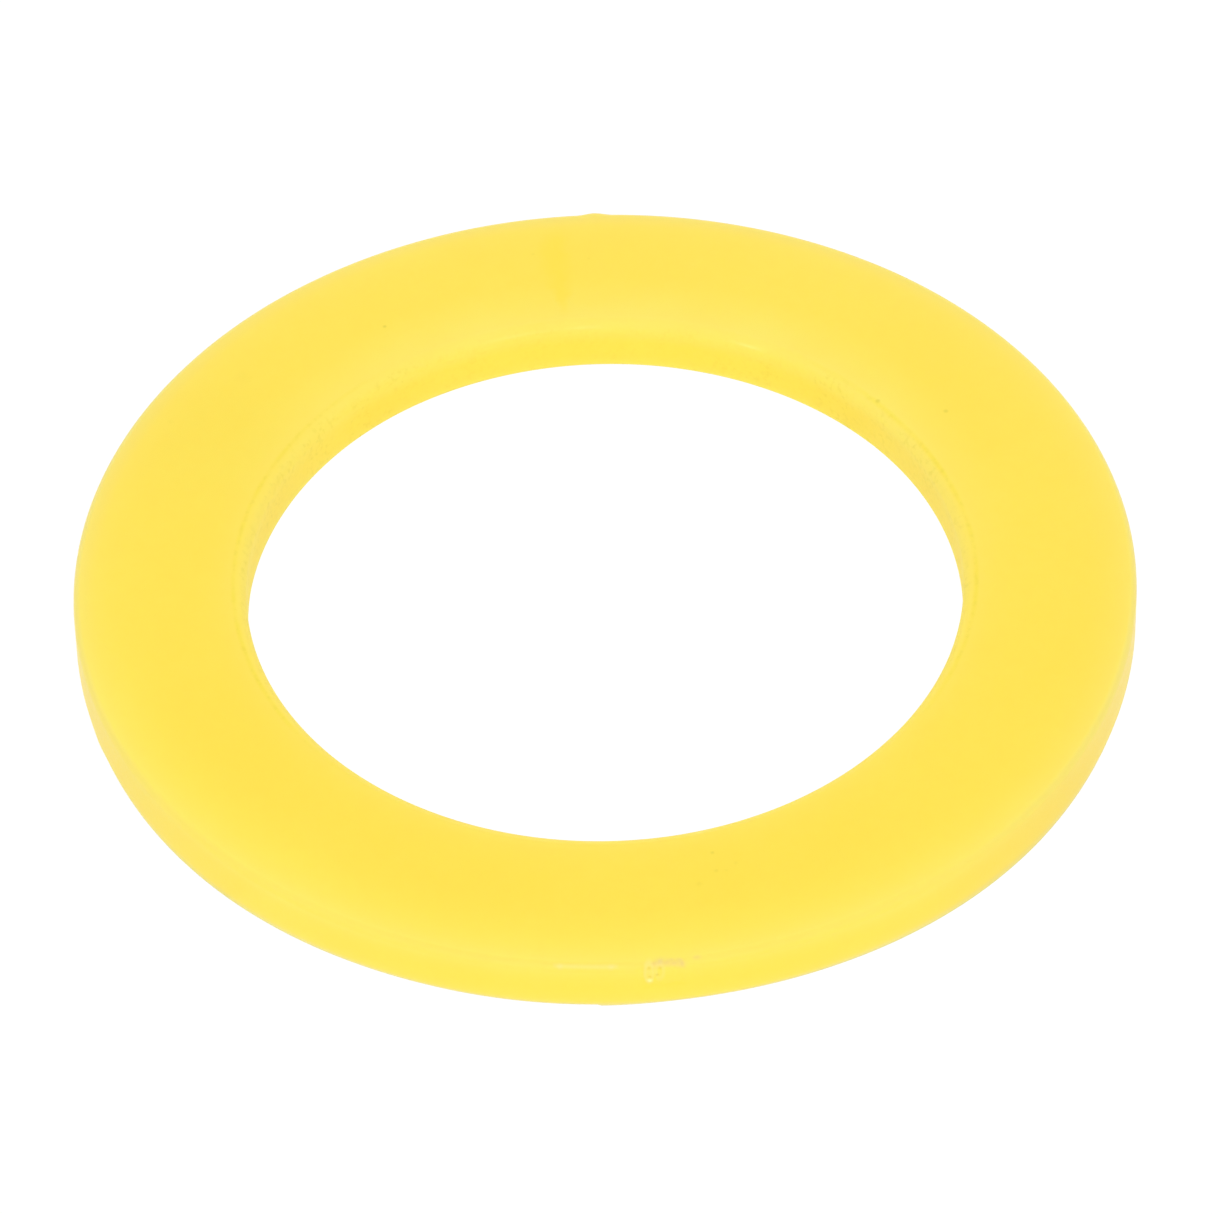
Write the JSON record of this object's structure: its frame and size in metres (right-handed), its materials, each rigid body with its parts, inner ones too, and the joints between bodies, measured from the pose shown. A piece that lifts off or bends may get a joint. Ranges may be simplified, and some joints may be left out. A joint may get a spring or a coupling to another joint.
{
  "type": "juggling ring",
  "caption": "Flat solid ring of soft yellow plastic with rounded edges, for throwing and catching by its broad band; its wide hole passes a hand, an arm or a peg.",
  "frame": {"origin": "centre of the ring, on the plane of its underside", "axes": "+Z along the ring's own axis, up from the face it lies on; the gate mark on the rim is 5 degrees round from -Y towards +X"},
  "size_m": [0.24, 0.24, 0.013],
  "materials": {
    "yellow_plastic": "satin"
  },
  "bodies": {
    "root": {"ring": "yellow_plastic"}
  },
  "joints": []
}
